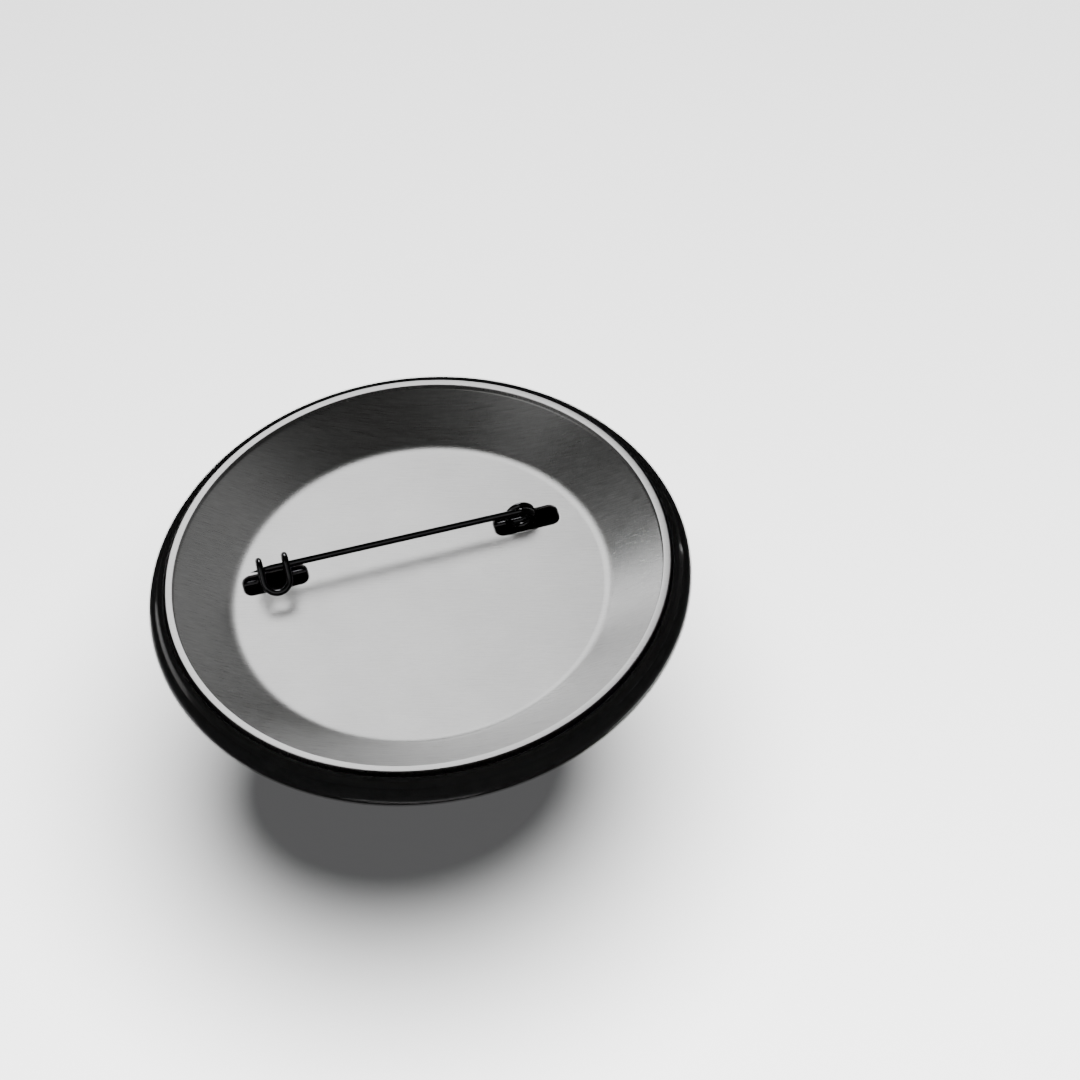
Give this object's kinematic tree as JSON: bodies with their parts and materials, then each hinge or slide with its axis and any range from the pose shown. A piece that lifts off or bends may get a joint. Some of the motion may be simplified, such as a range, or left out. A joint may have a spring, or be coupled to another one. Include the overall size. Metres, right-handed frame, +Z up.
{
  "type": "button badge",
  "caption": "Round button badge: domed black printed front, dished steel back and a sprung wire pin that hooks into a catch.",
  "frame": {"origin": "centre of the rear rim, the plane of the rolled bead that lies on the cloth", "axes": "+X along the closed needle from the coil to its point, +Y out of the back towards the wearer, +Z up as the badge is worn"},
  "size_m": [0.058, 0.008, 0.058],
  "materials": {
    "clear_film": "clear glossy polyester film",
    "printed_paper": "black printed paper with a coloured emblem",
    "tinned_shell": "tinplate",
    "brushed_back": "fine brushed tinplate",
    "pin_wire": "dark drawn spring-steel wire"
  },
  "bodies": {
    "badge": {"clear_film": "clear_film", "artwork_disc": "printed_paper", "front_shell": "tinned_shell", "back_plate": "brushed_back", "base_wire": "pin_wire", "spring_coil": "pin_wire", "catch_hook": "pin_wire"},
    "needle": {"needle": "pin_wire"}
  },
  "joints": [
    {"name": "needle_release", "type": "hinge", "parent": "badge", "child": "needle", "pos_m": [-0.0125, -0.00175, 0.0059], "axis": [0.9524, 0.2381, -0.1905], "range_deg": [0, 210]}
  ]
}
